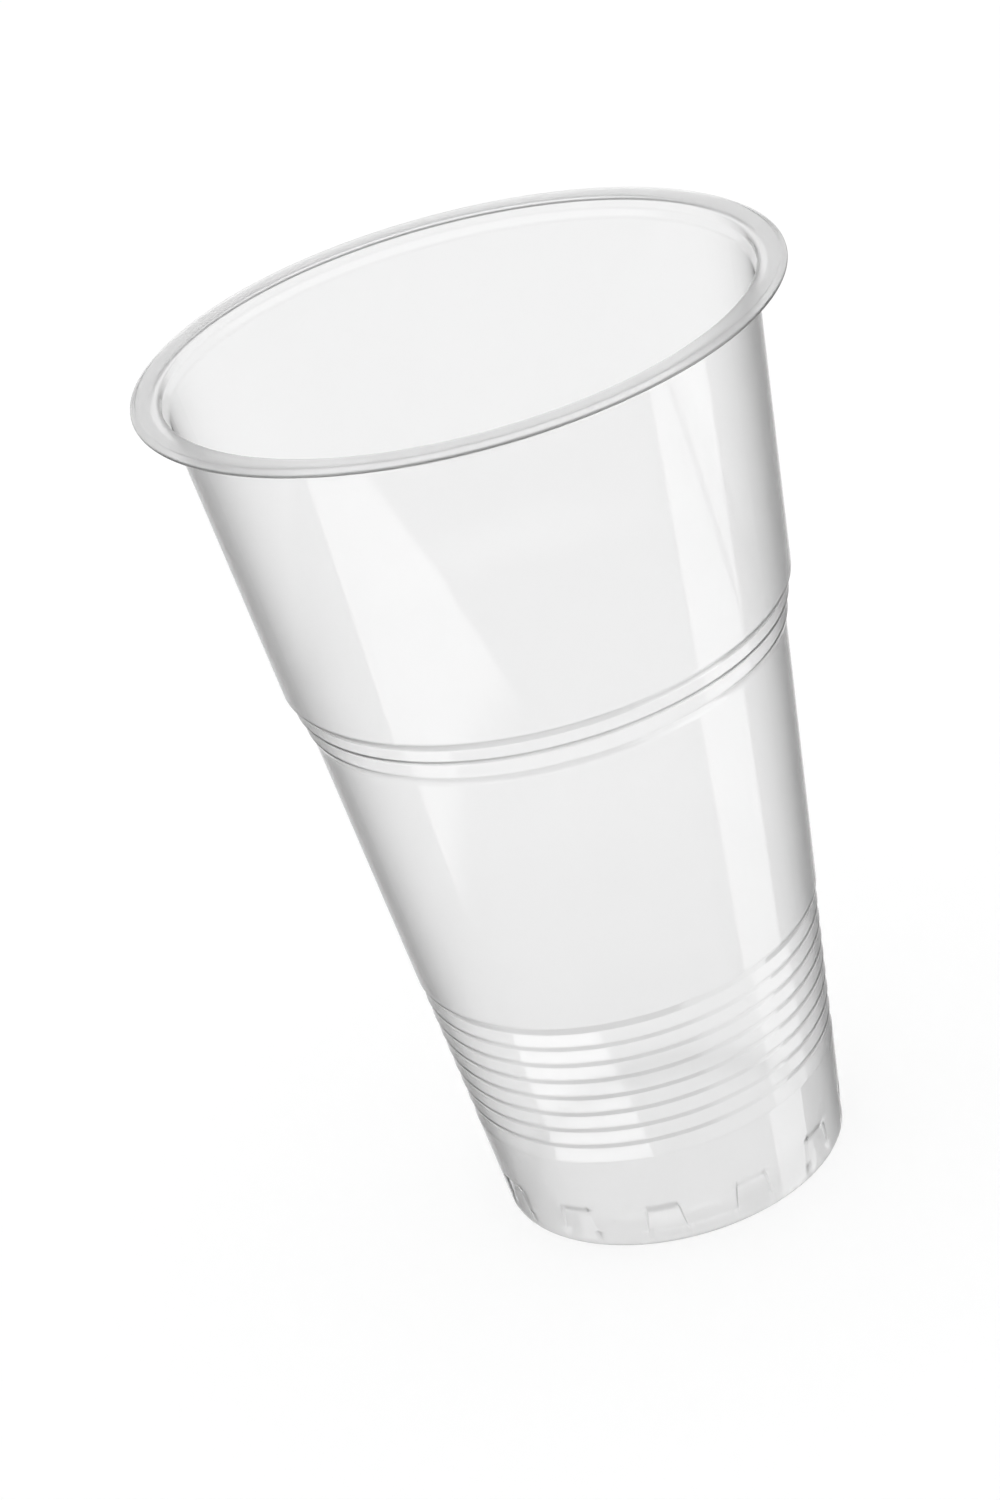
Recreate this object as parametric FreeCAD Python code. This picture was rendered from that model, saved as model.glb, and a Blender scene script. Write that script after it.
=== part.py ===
import FreeCAD, Part
import math
import os

# Plastic tumbler cup: one thin sheet drawn into a mould, its rim turned outwards and folded under.
# Millimetres, Z up, origin in the middle of the foot ring. Radii are those of the outer skin.

# Whole cup
height = 140.5
rim_diameter = 95.0
wall = 0.35

# Upper and lower cone of the wall: radius at the level of the foot, and growth per millimetre of height
upper_cone_radius = 28.52
upper_cone_slope = 0.1035
lower_cone_radius = 26.59
lower_cone_slope = 0.1072

# Foot: how far its band is set in from the lower cone, facet at the corner, ring that the cup stands
# on, and the raised middle of the base
foot_inset = 0.1
foot_corner_facet = 0.6
foot_ring_width = 2.6
base_rise = 2.2
base_slope_width = 1.2

# Grip ribs: short risers that face down and out, each under a nearly upright band that leans in a
# little towards the next groove. The grooves lie on a cone set in from the lower cone.
groove_inset = 0.44
rib_count = 7
rib_pitch = 3.07
rib_riser = 0.9
rib_lean = 0.05
lowest_groove_height = 19.0
rib_lead_in = 2.6
rib_lead_out = 1.4

# Ring group: three risers parted by upright bands step the wall out to the upper cone
ring_groove_heights = (86.25, 89.2, 91.9)
ring_groove_offsets = (0.0, 0.2, 0.7)
ring_riser = 0.8
ring_lean = 0.0
shoulder_length = 1.4

# Neck under the rim, seen from inside as a short upright band above a step
neck_radius = 43.52
neck_length = 2.0
neck_step_height = 1.1

# Rim: flat top, drooping edge, upright outer edge, and the sheet folded back under it
rim_flat_width = 3.03
rim_inner_facet = 0.6
rim_droop_angle = 35.0
rim_depth = 1.2
rim_return_gap = 1.1

# Stacking notches: pockets with an upright floor, deepest under their sloped top
notch_count = 12
notch_floor_radius = 26.6
notch_floor_top = 6.0
notch_ledge_slope = 62.0
notch_top_width = 4.6
notch_bottom_width = 6.8
notch_side_angle = 35.0

# Reach of the notch shapes past the skin on either side
notch_reach = 2.0

# A full turn in degrees, the bend in radians below which a line counts as straight, and the
# distance below which two points count as one
full_turn = 360.0
straight_angle = 1e-6
same_place = 1e-6


def point(radius, z):
    return FreeCAD.Vector(radius, 0, z)


def lower_cone(z, inset=0.0):
    return lower_cone_radius - inset + lower_cone_slope * z


def upper_cone(z):
    return upper_cone_radius + upper_cone_slope * z


def left_of(direction):
    """Unit vector a quarter turn to the left of a direction, which is towards the inner skin."""
    return FreeCAD.Vector(-direction.z, 0, direction.x).normalize()


def base_points():
    """Middle of the base, its raised panel, the foot ring and the foot corner."""
    ring_inner = lower_cone(0, foot_inset) - foot_corner_facet - foot_ring_width
    return [
        point(0, base_rise),
        point(ring_inner - base_slope_width, base_rise),
        point(ring_inner, 0),
        point(lower_cone(0, foot_inset), 0),
    ]


def groove_points():
    """Grip grooves from the lowest to the highest."""
    heights = [lowest_groove_height + number * rib_pitch for number in range(rib_count + 1)]
    return [point(lower_cone(z, groove_inset), z) for z in heights]


def ring_groove_points():
    return [
        point(lower_cone(z) + offset, z)
        for z, offset in zip(ring_groove_heights, ring_groove_offsets)
    ]


def with_crests(grooves, riser, lean):
    """Grooves with a crest between each two, riser above the lower and lean further out than the upper."""
    points = grooves[:1]
    for low, high in zip(grooves, grooves[1:]):
        points += [point(high.x + lean, low.z + riser), high]
    return points


def wall_points(crests):
    """The wall above the foot corner, with the crests of its ribs and rings or only through the grooves."""
    band_top = lowest_groove_height - rib_lead_in
    ribs_end = lowest_groove_height + rib_count * rib_pitch + rib_lead_out
    shoulder_top = ring_groove_heights[-1] + shoulder_length
    grips = groove_points()
    rings = ring_groove_points()
    if crests:
        grips = with_crests(grips, rib_riser, rib_lean)
        rings = with_crests(rings, ring_riser, ring_lean)
    return (
        [point(lower_cone(band_top, foot_inset), band_top)]
        + grips
        + [point(lower_cone(ribs_end), ribs_end)]
        + rings
        + [point(upper_cone(shoulder_top), shoulder_top)]
    )


def rim_points():
    """Step, neck, flat of the rim, drooping edge, upright edge and the part folded back under it."""
    step_top = height - neck_length
    step_bottom = step_top - neck_step_height
    underside = height - wall
    flat_end = neck_radius + rim_flat_width
    edge_radius = rim_diameter / 2 - wall
    edge_top = underside - (edge_radius - flat_end) * math.tan(math.radians(rim_droop_angle))
    edge_bottom = height - rim_depth + wall
    return [
        point(upper_cone(step_bottom), step_bottom),
        point(neck_radius, step_top),
        point(neck_radius, underside),
        point(flat_end, underside),
        point(edge_radius, edge_top),
        point(edge_radius, edge_bottom),
        point(neck_radius + rim_return_gap, edge_bottom),
    ]


def skin_points(crests):
    """The sheet's outer skin from the middle of the base to the edge of the sheet under the rim."""
    return base_points() + wall_points(crests) + rim_points()


def moved_in(points):
    """The same line one wall thickness further in, without the points amid its straight stretches."""
    normals = [left_of(after - before) for before, after in zip(points, points[1:])]
    moved = [points[0] + normals[0] * wall]
    for here, before, after in zip(points[1:], normals, normals[1:]):
        if before.getAngle(after) > straight_angle:
            bisector = (before + after).normalize()
            moved.append(here + bisector * (wall / bisector.dot(before)))
    moved.append(points[-1] + normals[-1] * wall)
    return moved


def faceted(points, corner, cut):
    """The line with a narrow facet across one corner, each end of it the cut away from the corner."""
    place = next(n for n, here in enumerate(points) if here.isEqual(corner, same_place))
    before = corner + (points[place - 1] - corner).normalize() * cut
    after = corner + (points[place + 1] - corner).normalize() * cut
    return points[:place] + [before, after] + points[place + 1:]


def plain_cup():
    """The whole sheet without its notches, its corners eased where a hand or a table meets them."""
    foot_corner = point(lower_cone(0, foot_inset), 0)
    rim_corner = point(neck_radius - wall, height)
    outer = faceted(skin_points(crests=True), foot_corner, foot_corner_facet)
    inner = faceted(moved_in(skin_points(crests=False)), rim_corner, rim_inner_facet)
    outline = Part.makePolygon(outer + inner[::-1] + outer[:1])
    return Part.Face(outline).revolve(point(0, 0), FreeCAD.Vector(0, 0, 1), full_turn)


def shift_at_corner(grown, slope):
    """How far a corner moves along an upright line when it and a line sloped to it both move by grown."""
    return grown * (1 - math.sin(slope)) / math.cos(slope)


def notch_band(grown):
    """Ring whose inner side is the notches' floor and sloped top, moved inwards by grown."""
    slope = math.radians(notch_ledge_slope)
    floor_radius = notch_floor_radius - grown
    outer_radius = lower_cone(notch_floor_top) + notch_reach
    floor_top = notch_floor_top + shift_at_corner(grown, slope)
    ledge_end_z = floor_top + (outer_radius - floor_radius) * math.tan(slope)
    corners = [
        point(floor_radius, foot_corner_facet),
        point(outer_radius, foot_corner_facet),
        point(outer_radius, ledge_end_z),
        point(floor_radius, floor_top),
    ]
    outline = Part.makePolygon(corners + corners[:1])
    return Part.Face(outline).revolve(point(0, 0), FreeCAD.Vector(0, 0, 1), full_turn)


def notch_wedge(grown):
    """Block that gives one notch its flared sides, which open outwards, widened by grown."""
    side = math.radians(notch_side_angle)
    top = notch_floor_top + notch_reach
    narrowing = (notch_bottom_width - notch_top_width) / notch_floor_top
    wires = []
    for radius in (notch_floor_radius - notch_reach, lower_cone(top) + notch_reach):
        widening = shift_at_corner(grown, side) + (radius - notch_floor_radius + grown) * math.tan(side)
        corners = []
        for sign, z in ((-1, 0), (1, 0), (1, top), (-1, top)):
            half_width = (notch_bottom_width - narrowing * z) / 2 + widening
            corners.append(FreeCAD.Vector(radius, sign * half_width, z))
        wires.append(Part.makePolygon(corners + corners[:1]))
    return Part.makeLoft(wires, True, True)


def notch_blocks(grown):
    """The notch shape at every place round the foot."""
    wedges = []
    for number in range(notch_count):
        wedge = notch_wedge(grown)
        wedge.rotate(point(0, 0), FreeCAD.Vector(0, 0, 1), number * full_turn / notch_count)
        wedges.append(wedge)
    return notch_band(grown).common(wedges)


def foot_core():
    """Everything inside the middle of the wall's thickness, as high as the notches reach."""
    top = 2 * notch_floor_top
    inset = foot_inset + wall / 2
    return Part.makeCone(lower_cone(0, inset), lower_cone(top, inset), top)


def build_cup():
    """The sheet with every notch pressed in, so that its inner skin follows the outer one."""
    pressed = plain_cup().fuse(notch_blocks(wall).common(foot_core()))
    return pressed.cut(notch_blocks(0))


cup = build_cup()
print(cup.ShapeType, len(cup.Solids), cup.isValid(), cup.Volume, cup.BoundBox)
os.makedirs("parts", exist_ok=True)
cup.Solids[0].exportStep("parts/cup.step")
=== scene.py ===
import math

import bpy
import numpy as np
from mathutils import Matrix, Vector


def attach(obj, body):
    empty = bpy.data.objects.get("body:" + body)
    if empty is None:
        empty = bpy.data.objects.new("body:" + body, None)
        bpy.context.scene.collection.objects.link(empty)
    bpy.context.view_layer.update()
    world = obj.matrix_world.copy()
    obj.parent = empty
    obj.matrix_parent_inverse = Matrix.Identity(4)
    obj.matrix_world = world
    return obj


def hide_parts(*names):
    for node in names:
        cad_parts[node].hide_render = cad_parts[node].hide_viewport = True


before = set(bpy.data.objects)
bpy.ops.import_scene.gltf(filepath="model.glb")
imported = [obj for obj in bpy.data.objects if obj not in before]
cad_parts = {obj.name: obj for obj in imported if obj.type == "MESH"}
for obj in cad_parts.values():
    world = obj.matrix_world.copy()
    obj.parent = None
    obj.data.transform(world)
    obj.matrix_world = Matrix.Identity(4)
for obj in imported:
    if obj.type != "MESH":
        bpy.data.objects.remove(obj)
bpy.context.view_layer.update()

# The cup is measured in millimetres here, as in its own source, and built in metres.
MM = 0.001

# Whole cup
HEIGHT = 140.5
RIM_RADIUS = 47.5
WALL = 0.35

# Upper and lower cone of the wall: radius at the level of the foot, and growth per millimetre
UPPER_CONE = (28.52, 0.1035)
LOWER_CONE = (26.59, 0.1072)

# Foot and base
FOOT_INSET = 0.1
FOOT_CORNER_ROUND = 0.54
FOOT_RING_WIDTH = 2.6
FOOT_CORNER_FACET = 0.6
BASE_RISE = 2.2
BASE_SLOPE_WIDTH = 1.2
BASE_FOLD_ROUND = 0.8

# Grip ribs: risers that face down, each under a nearly upright band
GROOVE_INSET = 0.44
RIB_COUNT = 7
RIB_PITCH = 3.07
RIB_RISER = 0.9
RIB_LEAN = 0.05
LOWEST_GROOVE = 19.0
RIB_LEAD_IN = 2.6
RIB_LEAD_OUT = 1.4
RIB_LEAD_ROUND = 2.0
GROOVE_ROUND = 0.35
CREST_ROUND = 0.6

# Ring group and the shoulder above it: height and offset from the lower cone of each groove
RING_GROOVES = ((86.25, 0.0), (89.2, 0.2), (91.9, 0.7))
RING_RISER = 0.8
RING_LEAD_ROUND = 3.0
SHOULDER_LENGTH = 1.4
SHOULDER_ROUND = 1.2

# Neck and rim
NECK_RADIUS = 43.52
NECK_LENGTH = 2.0
NECK_STEP_HEIGHT = 1.1
NECK_ROUND = 1.2
RIM_INNER_ROUND = 0.45
RIM_FLAT_WIDTH = 3.03
RIM_DROOP = math.radians(35)
RIM_FOLD_ROUND = 0.05
RIM_RETURN_GAP = 1.1

# Stacking notches, their share of a full turn, and how softly their faces meet
NOTCH_COUNT = 12
NOTCH_SHARE = 2 * math.pi / NOTCH_COUNT
NOTCH_FLOOR_RADIUS = 26.6
NOTCH_FLOOR_TOP = 6.0
NOTCH_LEDGE_SLOPE = math.radians(62)
NOTCH_TOP_WIDTH = 4.6
NOTCH_BOTTOM_WIDTH = 6.8
NOTCH_SIDE_ANGLE = math.radians(35)
NOTCH_EASING = 0.08
NOTCH_SIDE_LEAST = 0.15

# Mesh: widest turn between two points of a round, points beside the ends of long stretches, rows of
# the foot, columns of one notch's share, and the bend past which an edge is shaded sharp
ARC_STEP = math.radians(14)
SUPPORT_DISTANCE = 0.12
SUPPORTED_LENGTH = 0.9
FOOT_TOP = 8.0
FOOT_ROWS = 20
FLOOR_COLUMNS = 6
SIDE_COLUMNS = 3
PLAIN_COLUMNS = 4
SHARP_ANGLE = math.radians(50)


def cone(line, z):
    return line[0] + line[1] * z


def rounded(corners):
    """Points of a line through (radius, z, round) corners, each round drawn as an arc."""
    points = [np.array(corners[0][:2], float)]
    for before, here, after in zip(corners, corners[1:], corners[2:]):
        corner = np.array(here[:2], float)
        back = np.array(before[:2], float) - corner
        ahead = np.array(after[:2], float) - corner
        back /= np.linalg.norm(back)
        ahead /= np.linalg.norm(ahead)
        half = math.acos(float(back @ ahead)) / 2
        bisector = (back + ahead) / np.linalg.norm(back + ahead)
        across = (ahead - back) / np.linalg.norm(ahead - back)
        centre = corner + bisector * here[2] / math.sin(half)
        turn = math.pi - 2 * half
        steps = max(2, math.ceil(turn / ARC_STEP))
        for angle in np.linspace(-turn / 2, turn / 2, steps + 1):
            points.append(centre + (across * math.sin(angle) - bisector * math.cos(angle)) * here[2])
    points.append(np.array(corners[-1][:2], float))
    return points


def supported(points):
    """The line with a point beside each end of its longer stretches, which keeps their shading flat."""
    held = points[:1]
    for here, after in zip(points, points[1:]):
        length = np.linalg.norm(after - here)
        if length > SUPPORTED_LENGTH:
            step = (after - here) * SUPPORT_DISTANCE / length
            held += [here + step, after - step]
        held.append(after)
    return held


def foot_ring_radii():
    """Inner and outer radius of the ring that the cup stands on, the outer one without its round."""
    outer = cone(LOWER_CONE, 0) - FOOT_INSET
    return outer - FOOT_CORNER_FACET - FOOT_RING_WIDTH, outer


def base_corners():
    ring_inner, ring_outer = foot_ring_radii()
    return [
        (0, BASE_RISE, 0),
        (ring_inner - BASE_SLOPE_WIDTH, BASE_RISE, BASE_FOLD_ROUND),
        (ring_inner, 0, BASE_FOLD_ROUND),
        (ring_outer, 0, FOOT_CORNER_ROUND),
    ]


def rib_corners():
    """Grooves and crests of the grip ribs, from the band under them to the lower cone above them."""
    grooves = [LOWEST_GROOVE + number * RIB_PITCH for number in range(RIB_COUNT + 1)]
    radii = [cone(LOWER_CONE, z) - GROOVE_INSET for z in grooves]
    lead_in = grooves[0] - RIB_LEAD_IN
    lead_out = grooves[-1] + RIB_LEAD_OUT
    corners = [
        (cone(LOWER_CONE, lead_in) - FOOT_INSET, lead_in, RIB_LEAD_ROUND),
        (radii[0], grooves[0], GROOVE_ROUND),
    ]
    for low, high, radius in zip(grooves, grooves[1:], radii[1:]):
        corners.append((radius + RIB_LEAN, low + RIB_RISER, CREST_ROUND))
        corners.append((radius, high, GROOVE_ROUND))
    return corners + [(cone(LOWER_CONE, lead_out), lead_out, CREST_ROUND)]


def ring_corners():
    """Three risers parted by upright bands, from the lower cone to the upper one."""
    radii = [cone(LOWER_CONE, z) + offset for z, offset in RING_GROOVES]
    grooves = [z for z, offset in RING_GROOVES]
    corners = [(radii[0], grooves[0], RING_LEAD_ROUND)]
    for low, high, radius in zip(grooves, grooves[1:], radii[1:]):
        corners.append((radius, low + RING_RISER, CREST_ROUND))
        corners.append((radius, high, GROOVE_ROUND))
    shoulder = grooves[-1] + SHOULDER_LENGTH
    return corners + [(cone(UPPER_CONE, shoulder), shoulder, SHOULDER_ROUND)]


def rim_corners():
    """Step, neck, flat of the rim, its drooping edge and the sheet folded back under it."""
    step_top = HEIGHT - NECK_LENGTH
    step_bottom = step_top - NECK_STEP_HEIGHT
    underside = HEIGHT - WALL
    flat_end = NECK_RADIUS + RIM_FLAT_WIDTH
    edge = RIM_RADIUS - WALL - RIM_FOLD_ROUND + RIM_FOLD_ROUND / math.tan(RIM_DROOP / 2)
    edge_z = underside - (edge - flat_end) * math.tan(RIM_DROOP)
    return [
        (cone(UPPER_CONE, step_bottom), step_bottom, NECK_ROUND),
        (NECK_RADIUS, step_top, NECK_ROUND),
        (NECK_RADIUS, underside, RIM_INNER_ROUND),
        (flat_end, underside, RIM_FOLD_ROUND),
        (edge, edge_z, RIM_FOLD_ROUND),
        (NECK_RADIUS + RIM_RETURN_GAP, edge_z, 0),
    ]


def outer_skin():
    """(radius, z) points from the middle of the base to the sheet's edge, in even rows up the foot."""
    line = supported(rounded(base_corners() + rib_corners() + ring_corners() + rim_corners()))
    ring_inner, ring_outer = foot_ring_radii()
    low = next(n for n, (radius, z) in enumerate(line) if radius > ring_inner and z > FOOT_CORNER_FACET)
    high = next(n for n, (radius, z) in enumerate(line) if n > low and z > FOOT_TOP)
    heights = np.linspace(FOOT_CORNER_FACET, FOOT_TOP, FOOT_ROWS)
    foot = [np.array((cone(LOWER_CONE, z) - FOOT_INSET, z)) for z in heights]
    return np.array(line[:low] + foot + line[high:])


def inner_skin(outer):
    """The same line one wall thickness further in."""
    ways = np.diff(outer, axis=0)
    ways /= np.linalg.norm(ways, axis=1)[:, None]
    before = np.vstack([ways[:1], ways])
    after = np.vstack([ways, ways[-1:]])
    way = before + after
    way /= np.linalg.norm(way, axis=1)[:, None]
    normal = np.stack([-way[:, 1], way[:, 0]], axis=1)
    reach = WALL / np.einsum("ij,ij->i", way, after)
    return outer + normal * reach[:, None]


def eased_max(a, b):
    """The larger of the two, with the bend between them rounded."""
    return (a + b + np.sqrt((a - b) ** 2 + NOTCH_EASING ** 2)) / 2


def notch_depth(z):
    """Depth of a notch at a height, and half the width of its floor there, for every row."""
    skin = cone(LOWER_CONE, z) - FOOT_INSET
    ledge = NOTCH_FLOOR_RADIUS + (z - NOTCH_FLOOR_TOP) / math.tan(NOTCH_LEDGE_SLOPE)
    depth = eased_max(0, skin - eased_max(NOTCH_FLOOR_RADIUS, ledge))
    depth = np.where((z > FOOT_CORNER_FACET / 2) & (z < FOOT_TOP), depth, 0)
    narrowing = (NOTCH_BOTTOM_WIDTH - NOTCH_TOP_WIDTH) * np.clip(z / NOTCH_FLOOR_TOP, 0, 1)
    return depth, (NOTCH_BOTTOM_WIDTH - narrowing) / 2


def columns(depth, half_width):
    """Angles of one notch share's columns and how far each lies down the notch, 0 to 1."""
    floor_edge = half_width / NOTCH_FLOOR_RADIUS
    side = max(depth * math.tan(NOTCH_SIDE_ANGLE), NOTCH_SIDE_LEAST) / NOTCH_FLOOR_RADIUS
    right = np.concatenate([
        np.linspace(0, floor_edge, FLOOR_COLUMNS // 2, endpoint=False),
        np.linspace(floor_edge, floor_edge + side, SIDE_COLUMNS, endpoint=False),
        np.linspace(floor_edge + side, NOTCH_SHARE / 2, PLAIN_COLUMNS, endpoint=False),
    ])
    down = np.concatenate([
        np.ones(FLOOR_COLUMNS // 2),
        np.linspace(1, 0, SIDE_COLUMNS, endpoint=False),
        np.zeros(PLAIN_COLUMNS),
    ])
    angles = np.concatenate([right, [NOTCH_SHARE / 2], NOTCH_SHARE - right[:0:-1]])
    return angles, np.concatenate([down, [0], down[:0:-1]])


def skin_rings(skin, depth, half_width):
    """One ring of points round the axis for each point of a skin's line, pressed in at the notches."""
    rings = []
    for (radius, z), deep, half in zip(skin, depth, half_width):
        angles, down = columns(deep, half)
        around = np.concatenate([angles + number * NOTCH_SHARE for number in range(NOTCH_COUNT)])
        radii = radius - deep * np.tile(down, NOTCH_COUNT)
        heights = np.full(len(around), z)
        rings.append(np.stack([radii * np.cos(around), radii * np.sin(around), heights], axis=1))
    return rings


def cup_mesh():
    """The sheet turned round its axis, outer and inner skin in one closed mesh."""
    outer = outer_skin()
    inner = inner_skin(outer)
    depth, half_width = notch_depth(outer[:, 1])
    outer_rings = skin_rings(outer, depth, half_width)
    inner_rings = skin_rings(inner, depth, half_width)
    sheet = outer_rings[1:] + inner_rings[:0:-1]
    middles = [(0, 0, outer[0][1]), (0, 0, inner[0][1])]
    points = np.vstack([middles] + sheet) * MM
    count = len(sheet[0])
    last = len(sheet) - 1

    def at(ring, column):
        return len(middles) + ring * count + column % count

    faces = [(0, at(0, column + 1), at(0, column)) for column in range(count)]
    faces += [(1, at(last, column), at(last, column + 1)) for column in range(count)]
    for ring in range(last):
        for column in range(count):
            here, beside = at(ring, column), at(ring, column + 1)
            faces.append((here, beside, at(ring + 1, column + 1), at(ring + 1, column)))
    mesh = bpy.data.meshes.new("cup_sheet")
    mesh.from_pydata(points.tolist(), [], faces)
    mesh.validate()
    mesh.shade_smooth()
    mesh.set_sharp_from_angle(angle=SHARP_ANGLE)
    return mesh


def grey(level):
    return (level, level, level, 1)


class Graph:
    """Adds the nodes of one tree by short calls, each of which gives the new node's output."""

    def __init__(self, tree):
        self.nodes = tree.nodes
        self.links = tree.links

    def put(self, value, socket):
        """Sets the socket to a constant, or links it to another node's output."""
        if isinstance(value, bpy.types.NodeSocket):
            self.links.new(value, socket)
        else:
            socket.default_value = value

    def math(self, operation, *values):
        node = self.nodes.new("ShaderNodeMath")
        node.operation = operation
        for value, socket in zip(values, node.inputs):
            self.put(value, socket)
        return node.outputs[0]

    def ramp(self, value, start, end):
        """0 before the start, 1 past the end and eased between them, rising or falling."""
        node = self.nodes.new("ShaderNodeMapRange")
        node.interpolation_type = "SMOOTHSTEP"
        self.put(value, node.inputs["Value"])
        self.put(start, node.inputs["From Min"])
        self.put(end, node.inputs["From Max"])
        return node.outputs["Result"]

    def band(self, value, low, high, soft):
        """1 between low and high and 0 outside, eased over the soft width inside each end."""
        rise = self.ramp(self.math("SUBTRACT", value, low), 0, soft)
        fall = self.ramp(self.math("SUBTRACT", high, value), 0, soft)
        return self.math("MULTIPLY", rise, fall)

    def mix(self, factor, a, b):
        """a where the factor is 0 and b where it is 1."""
        node = self.nodes.new("ShaderNodeMix")
        self.put(factor, node.inputs["Factor"])
        self.put(a, node.inputs["A"])
        self.put(b, node.inputs["B"])
        return node.outputs["Result"]

    def raised(self, level, share, rise):
        """The level with a share of the rise added to it."""
        return self.math("MULTIPLY_ADD", share, rise, level)

    def ray_is(self, *names):
        """1 for rays of the named kinds, which Light Path names Is ... Ray."""
        path = self.nodes.new("ShaderNodeLightPath")
        total = 0.0
        for name in names:
            total = self.math("MAXIMUM", total, path.outputs[f"Is {name} Ray"])
        return total

    def shader(self, node, constants):
        """A shader's output, once the constants are set on its own sockets."""
        for name, value in constants.items():
            node.inputs[name].default_value = value
        return node.outputs[0]

    def mix_shaders(self, factor, a, b):
        """a where the factor is 0 and b where it is 1."""
        node = self.nodes.new("ShaderNodeMixShader")
        self.put(factor, node.inputs[0])
        self.links.new(a, node.inputs[1])
        self.links.new(b, node.inputs[2])
        return node.outputs[0]


# Plastic: milky share of each skin and its colour, how much of that light goes on through, colour and
# spread of the light that crosses the clear rest, and the gloss, which mirrors least straight on
MILKY_SHARE = 0.06
MILKY_COLOUR = 0.95
MILKY_THROUGH = 0.5
CLEARNESS = 0.93
HAZE_ROUGHNESS = 0.45
HAZE_IOR = 1.1
STRAIGHT_REFLECTION = 0.04
GRAZING_POWER = 5
GLOSS_ROUGHNESS = 0.03

# Blend of a Layer Weight node at which its Facing output is one minus the cosine of the view's angle
COSINE_BLEND = 0.5


def mirrored_share(graph):
    """Share of the light that the gloss mirrors, which grows towards a low angle of view."""
    weight = graph.nodes.new("ShaderNodeLayerWeight")
    weight.inputs["Blend"].default_value = COSINE_BLEND
    grazing = graph.math("POWER", weight.outputs["Facing"], GRAZING_POWER)
    return graph.raised(STRAIGHT_REFLECTION, grazing, 1 - STRAIGHT_REFLECTION)


def clear_plastic():
    """Clear sheet with a slight haze, which hides the far wall behind the near one, and a hard gloss."""
    material = bpy.data.materials.new("clear_plastic")
    material.use_nodes = True
    graph = Graph(material.node_tree)
    lit = graph.shader(graph.nodes["Principled BSDF"], {
        "Base Color": grey(MILKY_COLOUR),
        "Roughness": GLOSS_ROUGHNESS,
        "Specular IOR Level": 0.0,
    })
    lit_through = graph.shader(graph.nodes.new("ShaderNodeBsdfTranslucent"), {
        "Color": grey(MILKY_COLOUR),
    })
    clear = graph.shader(graph.nodes.new("ShaderNodeBsdfRefraction"), {
        "Color": grey(CLEARNESS),
        "Roughness": HAZE_ROUGHNESS,
        "IOR": HAZE_IOR,
    })
    gloss = graph.shader(graph.nodes.new("ShaderNodeBsdfGlossy"), {
        "Color": grey(1),
        "Roughness": GLOSS_ROUGHNESS,
    })
    milky = graph.mix_shaders(MILKY_THROUGH, lit, lit_through)
    body = graph.mix_shaders(MILKY_SHARE, clear, milky)
    surface = graph.mix_shaders(mirrored_share(graph), body, gloss)
    graph.put(surface, graph.nodes["Material Output"].inputs["Surface"])
    return material


def add_cup():
    cup = bpy.data.objects.new("cup_sheet", cup_mesh())
    bpy.context.collection.objects.link(cup)
    cup.data.materials.append(clear_plastic())
    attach(cup, "root")
    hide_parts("cup")


# Camera in metres: where it stands round the cup and how high, its aim, and its lens and sensor in
# millimetres. Its roll makes the upright cup lean to the right in the picture.
CAMERA_AZIMUTH = math.radians(-81)
CAMERA_DISTANCE = 0.5480
CAMERA_HEIGHT = 0.3409
CAMERA_HEADING = math.radians(100.037)
CAMERA_TILT = math.radians(-25.985)
CAMERA_ROLL = math.radians(-15.389)
CAMERA_LENS = 99.21
CAMERA_SENSOR = 36.0
CAMERA_CLIP = (0.01, 20)


def add_camera():
    data = bpy.data.cameras.new("camera")
    data.lens = CAMERA_LENS
    data.sensor_width = CAMERA_SENSOR
    data.clip_start, data.clip_end = CAMERA_CLIP
    camera = bpy.data.objects.new("camera", data)
    bpy.context.collection.objects.link(camera)
    forward = Vector((
        math.cos(CAMERA_HEADING) * math.cos(CAMERA_TILT),
        math.sin(CAMERA_HEADING) * math.cos(CAMERA_TILT),
        math.sin(CAMERA_TILT),
    ))
    level = Vector((math.sin(CAMERA_HEADING), -math.cos(CAMERA_HEADING), 0))
    over = level.cross(forward)
    right = level * math.cos(CAMERA_ROLL) + over * math.sin(CAMERA_ROLL)
    top = right.cross(forward)
    turn = Matrix((right, top, -forward)).transposed()
    place = Vector((
        CAMERA_DISTANCE * math.cos(CAMERA_AZIMUTH),
        CAMERA_DISTANCE * math.sin(CAMERA_AZIMUTH),
        CAMERA_HEIGHT,
    ))
    camera.matrix_world = Matrix.Translation(place) @ turn.to_4x4()
    bpy.context.scene.camera = camera


# Light on everything but the gloss, where a level of 1 is white
PLAIN_LEVEL = 1.0

# Studio that only the gloss mirrors. It stands still round the cup. Azimuths are in degrees from the
# side of the camera's azimuth above, positive to the right, and elevations in degrees above the
# horizon. A step is the pair of angles between which one level passes into another. The wall mirrors
# the front on its outer face, and what lies above INNER_FRONT_STEP on its inner one.
OUTER_FRONT_LEVEL = 2.55
INNER_FRONT_LEVEL = 0.0
INNER_FRONT_STEP = (-24, -14)
LOW_FRONT_RISE = 0.6
LOW_FRONT_STEP = (-37, -42)
RIB_FRONT_RISE = 1.1
RIB_FRONT_ELEVATIONS = (-30.4, -26)
RIB_FRONT_SOFT = 0.5
GROUND_LEVEL = 0.15
GROUND_STEP = (-50, -62)

# Sides from left to right, more light low down, and the step from front to side either way
LEFT_SIDE_LEVEL = 0.25
RIGHT_SIDE_LEVEL = 0.2
LEFT_TO_RIGHT_STEP = (-60, 60)
LOW_SIDE_RISE = 0.35
LOW_SIDE_STEP = (-33, -38)
FRONT_TO_SIDE_STEP = (50, 140)

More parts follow.
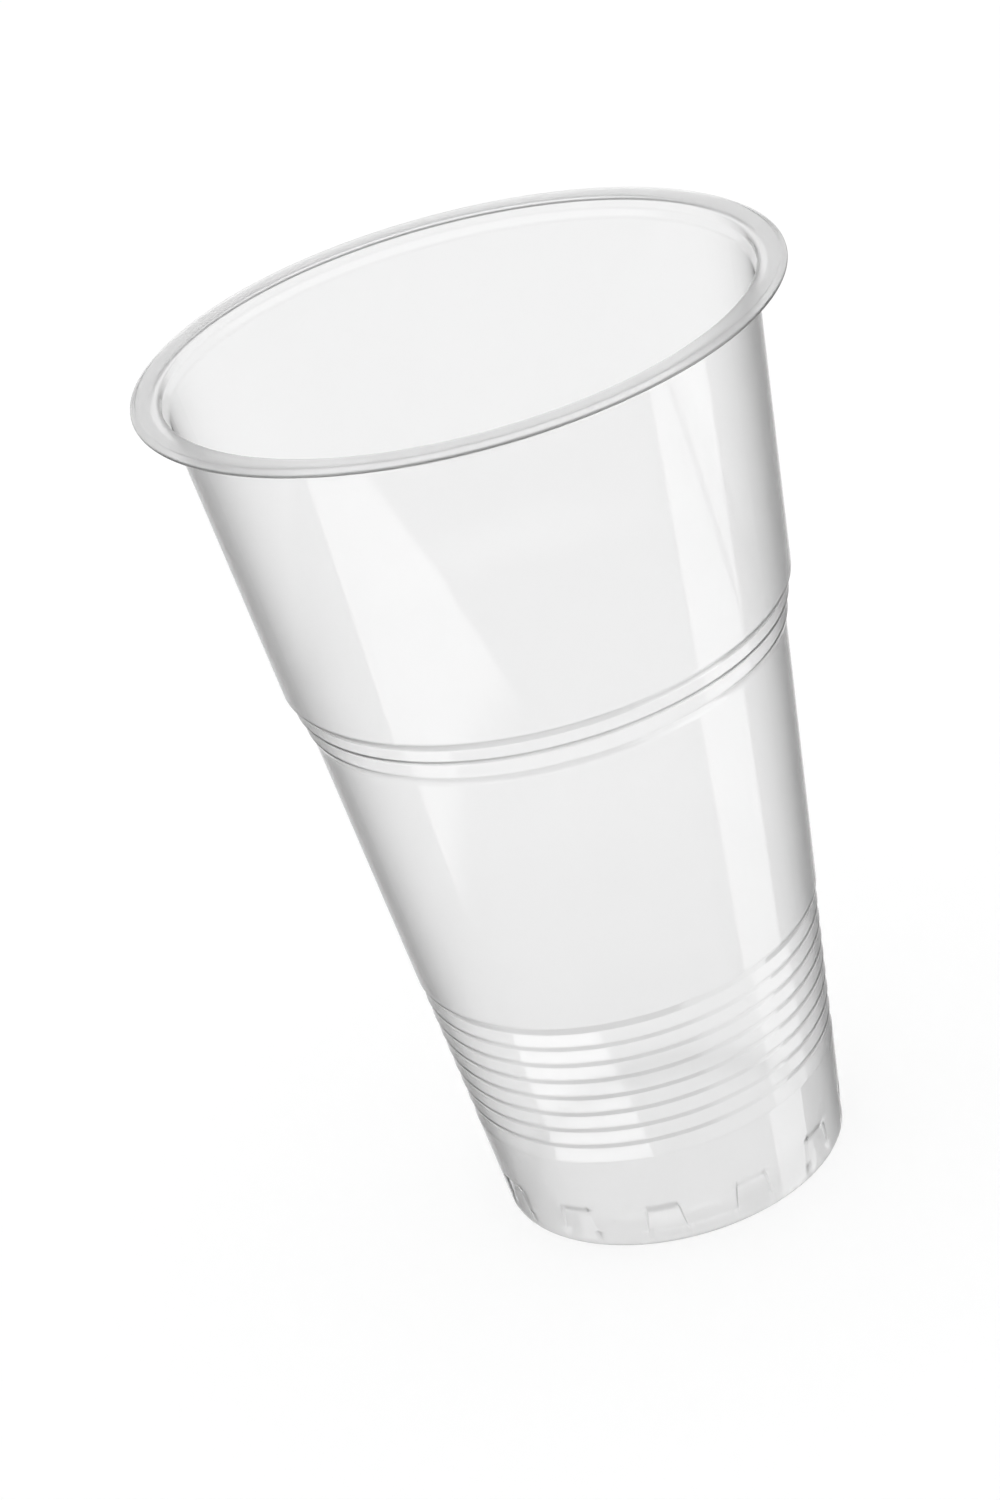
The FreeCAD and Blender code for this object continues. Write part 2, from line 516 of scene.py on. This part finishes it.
# White backdrop behind the cup, a little off centre
BACKDROP_LEVEL = 1.0
BACKDROP_STEP = (138, 180)
BACKDROP_SHIFT = 2

# Sky above the horizon, brighter higher up and brightest overhead
SKY_LEVEL = 1.2
HORIZON_STEP = (-2, 6)
HIGH_SKY_LEVEL = 2.0
HIGH_SKY_STEP = (24, 29)
TOP_LEVEL = 4.0
TOP_STEP = (45, 60)

# Softness of a box is a pair, for its upright edges and for its level ones. A slanted edge goes
# through a point, azimuth and elevation, and moves by its slant in azimuth for each degree up.

# Left soft box: its outer edge is further out low down, its inner edge slants in towards its foot
LEFT_BOX_LEVEL = 1.8
LEFT_BOX_ELEVATIONS = (-37.6, -4)
LEFT_BOX_SOFTNESS = (2, 1.5)
LEFT_BOX_OUTER = -78
LEFT_BOX_OUTER_SHIFT = -6
LEFT_BOX_OUTER_STEP = (-30, -36)
LEFT_BOX_INNER = -52
LEFT_BOX_SLANT = -7.3
LEFT_BOX_SLANT_POINT = (-50.6, -32.3)

# Soft box of the ribs: its inner edge slants
RIB_BOX_LEVEL = 3.0
RIB_BOX_ELEVATIONS = (-30.2, -26.8)
RIB_BOX_SOFTNESS = (2, 0.6)
RIB_BOX_OUTER = -78
RIB_BOX_SLANT = -6.15
RIB_BOX_SLANT_POINT = (-14, -29.1)

# Soft box of the notches
NOTCH_BOX_LEVEL = 2.4
NOTCH_BOX_AZIMUTHS = (-32, 32)
NOTCH_BOX_ELEVATIONS = (-33.5, -31.6)
NOTCH_BOX_SOFTNESS = (4, 0.4)

# Right soft box: it flares low down, and a dimmer bar crosses it on a slant. The step of the bar is
# the pair of distances from its middle between which it ends.
RIGHT_BOX_LEVEL = 1.9
RIGHT_BOX_AZIMUTHS = (69, 103)
RIGHT_BOX_ELEVATIONS = (-75, -4)
RIGHT_BOX_SOFTNESS = (2, 2)
RIGHT_BOX_FLARES = (-22, 24)
RIGHT_BOX_FLARE_STEP = (-43, -60)
RIGHT_BAR_SHARE = 0.4
RIGHT_BAR_STEP = (2, 4.5)
RIGHT_BAR_SLANT = -11.8
RIGHT_BAR_POINT = (80, -30.6)


def slanted(graph, up, slant, point):
    """Azimuth of a slanted edge at each elevation."""
    azimuth, elevation = point
    return graph.math("MULTIPLY_ADD", up, slant, azimuth - slant * elevation)


def soft_box(graph, around, up, azimuths, elevations, softness):
    """1 inside the box, 0 outside."""
    across = graph.band(around, *azimuths, softness[0])
    upwards = graph.band(up, *elevations, softness[1])
    return graph.math("MULTIPLY", across, upwards)


def left_box(graph, around, up):
    """Tall soft box, which the left of the wall mirrors."""
    slant = slanted(graph, up, LEFT_BOX_SLANT, LEFT_BOX_SLANT_POINT)
    inner = graph.math("MAXIMUM", slant, LEFT_BOX_INNER)
    outer = graph.raised(LEFT_BOX_OUTER, graph.ramp(up, *LEFT_BOX_OUTER_STEP), LEFT_BOX_OUTER_SHIFT)
    return soft_box(graph, around, up, (outer, inner), LEFT_BOX_ELEVATIONS, LEFT_BOX_SOFTNESS)


def rib_box(graph, around, up):
    """Low soft box on the left, which the bands of the grip ribs mirror."""
    inner = slanted(graph, up, RIB_BOX_SLANT, RIB_BOX_SLANT_POINT)
    return soft_box(graph, around, up, (RIB_BOX_OUTER, inner), RIB_BOX_ELEVATIONS, RIB_BOX_SOFTNESS)


def notch_box(graph, around, up):
    """Narrow soft box straight ahead, which the floors of the notches mirror."""
    return soft_box(graph, around, up, NOTCH_BOX_AZIMUTHS, NOTCH_BOX_ELEVATIONS, NOTCH_BOX_SOFTNESS)


def right_box(graph, around, up):
    """Tall soft box with its bar, which the right of the wall mirrors."""
    flare = graph.ramp(up, *RIGHT_BOX_FLARE_STEP)
    azimuths = [
        graph.raised(azimuth, flare, shift)
        for azimuth, shift in zip(RIGHT_BOX_AZIMUTHS, RIGHT_BOX_FLARES)
    ]
    window = soft_box(graph, around, up, azimuths, RIGHT_BOX_ELEVATIONS, RIGHT_BOX_SOFTNESS)
    bar = slanted(graph, up, RIGHT_BAR_SLANT, RIGHT_BAR_POINT)
    off = graph.math("ABSOLUTE", graph.math("SUBTRACT", around, bar))
    return graph.math("MULTIPLY", window, graph.mix(graph.ramp(off, *RIGHT_BAR_STEP), RIGHT_BAR_SHARE, 1.0))


def azimuth_and_elevation(graph):
    """Where a mirrored ray ends, as the studio's angles in degrees."""
    direction = graph.nodes.new("ShaderNodeTexCoord").outputs["Generated"]
    turned = graph.nodes.new("ShaderNodeVectorRotate")
    turned.rotation_type = "Z_AXIS"
    turned.inputs["Angle"].default_value = -CAMERA_AZIMUTH
    graph.links.new(direction, turned.inputs["Vector"])
    split = graph.nodes.new("ShaderNodeSeparateXYZ")
    graph.links.new(turned.outputs[0], split.inputs[0])
    degrees = math.degrees(1)
    around = graph.math("ARCTAN2", split.outputs["Y"], split.outputs["X"])
    up = graph.math("ARCSINE", split.outputs["Z"])
    return graph.math("MULTIPLY", around, degrees), graph.math("MULTIPLY", up, degrees)


def front_level(graph, up):
    front = graph.mix(graph.ramp(up, *INNER_FRONT_STEP), OUTER_FRONT_LEVEL, INNER_FRONT_LEVEL)
    front = graph.raised(front, graph.ramp(up, *LOW_FRONT_STEP), LOW_FRONT_RISE)
    front = graph.raised(front, graph.band(up, *RIB_FRONT_ELEVATIONS, RIB_FRONT_SOFT), RIB_FRONT_RISE)
    return graph.mix(graph.ramp(up, *GROUND_STEP), front, GROUND_LEVEL)


def side_level(graph, around, up):
    side = graph.mix(graph.ramp(around, *LEFT_TO_RIGHT_STEP), LEFT_SIDE_LEVEL, RIGHT_SIDE_LEVEL)
    return graph.raised(side, graph.ramp(up, *LOW_SIDE_STEP), LOW_SIDE_RISE)


def sky_level(graph, up):
    sky = graph.mix(graph.ramp(up, *HIGH_SKY_STEP), SKY_LEVEL, HIGH_SKY_LEVEL)
    return graph.mix(graph.ramp(up, *TOP_STEP), sky, TOP_LEVEL)


def mirrored_studio(graph):
    """What the gloss shows: white behind the cup, dark at its sides, soft boxes left and right."""
    around, up = azimuth_and_elevation(graph)
    aside = graph.math("ABSOLUTE", around)
    behind = graph.math("ABSOLUTE", graph.math("SUBTRACT", around, BACKDROP_SHIFT))
    side = side_level(graph, around, up)
    level = graph.mix(graph.ramp(aside, *FRONT_TO_SIDE_STEP), front_level(graph, up), side)
    level = graph.mix(graph.ramp(behind, *BACKDROP_STEP), level, BACKDROP_LEVEL)
    tall = graph.math("MULTIPLY", left_box(graph, around, up), LEFT_BOX_LEVEL)
    low = graph.math("MULTIPLY", rib_box(graph, around, up), RIB_BOX_LEVEL)
    level = graph.math("ADD", graph.math("MAXIMUM", tall, low), level)
    level = graph.raised(level, notch_box(graph, around, up), NOTCH_BOX_LEVEL)
    level = graph.raised(level, right_box(graph, around, up), RIGHT_BOX_LEVEL)
    return graph.mix(graph.ramp(up, *HORIZON_STEP), level, sky_level(graph, up))


def add_world():
    """Plain white light, with the studio in its place for rays that the gloss has mirrored."""
    world = bpy.data.worlds.new("studio")
    bpy.context.scene.world = world
    world.use_nodes = True
    graph = Graph(world.node_tree)
    plain = graph.shader(graph.nodes["Background"], {"Color": grey(1), "Strength": PLAIN_LEVEL})
    studio = graph.nodes.new("ShaderNodeBackground")
    graph.put(mirrored_studio(graph), studio.inputs["Strength"])
    path = graph.nodes.new("ShaderNodeLightPath")
    after_gloss = graph.math("GREATER_THAN", path.outputs["Glossy Depth"], 0)
    light = graph.mix_shaders(after_gloss, plain, graph.shader(studio, {"Color": grey(1)}))
    graph.put(light, graph.nodes["World Output"].inputs["Surface"])


# Floor: its width in metres, the colour by which it lights the cup, and the darker colour and the
# glow of the floor as it is seen, which together make it white with a faint shadow of the cup
FLOOR_SIZE = 6.0
FLOOR_COLOUR = 0.9
FLOOR_SEEN_COLOUR = 0.45
FLOOR_GLOW = 0.57


def white_floor():
    material = bpy.data.materials.new("white_floor")
    material.use_nodes = True
    graph = Graph(material.node_tree)
    seen = graph.ray_is("Camera", "Glossy", "Transmission")
    plain = graph.nodes["Principled BSDF"]
    graph.put(graph.mix(seen, FLOOR_COLOUR, FLOOR_SEEN_COLOUR), plain.inputs["Base Color"])
    glow = graph.nodes.new("ShaderNodeEmission")
    graph.put(seen, glow.inputs["Strength"])
    total = graph.nodes.new("ShaderNodeAddShader")
    graph.put(graph.shader(plain, {"Roughness": 1.0, "Specular IOR Level": 0.0}), total.inputs[0])
    graph.put(graph.shader(glow, {"Color": grey(FLOOR_GLOW)}), total.inputs[1])
    graph.put(total.outputs[0], graph.nodes["Material Output"].inputs["Surface"])
    return material


def add_floor():
    mesh = bpy.data.meshes.new("floor")
    half = FLOOR_SIZE / 2
    corners = [(-half, -half, 0), (half, -half, 0), (half, half, 0), (-half, half, 0)]
    mesh.from_pydata(corners, [], [(0, 1, 2, 3)])
    floor = bpy.data.objects.new("floor", mesh)
    bpy.context.collection.objects.link(floor)
    floor.visible_glossy = False
    floor.data.materials.append(white_floor())


# Bounces of a ray: enough to cross both walls and come back, and no more, to keep the render short
CROSSINGS = 8
REFLECTIONS = 2


def limit_bounces():
    cycles = bpy.context.scene.cycles
    cycles.max_bounces = CROSSINGS
    cycles.transmission_bounces = CROSSINGS
    cycles.diffuse_bounces = REFLECTIONS
    cycles.glossy_bounces = REFLECTIONS


bpy.context.scene.view_settings.view_transform = "Standard"
limit_bounces()
add_cup()
add_floor()
add_world()
add_camera()
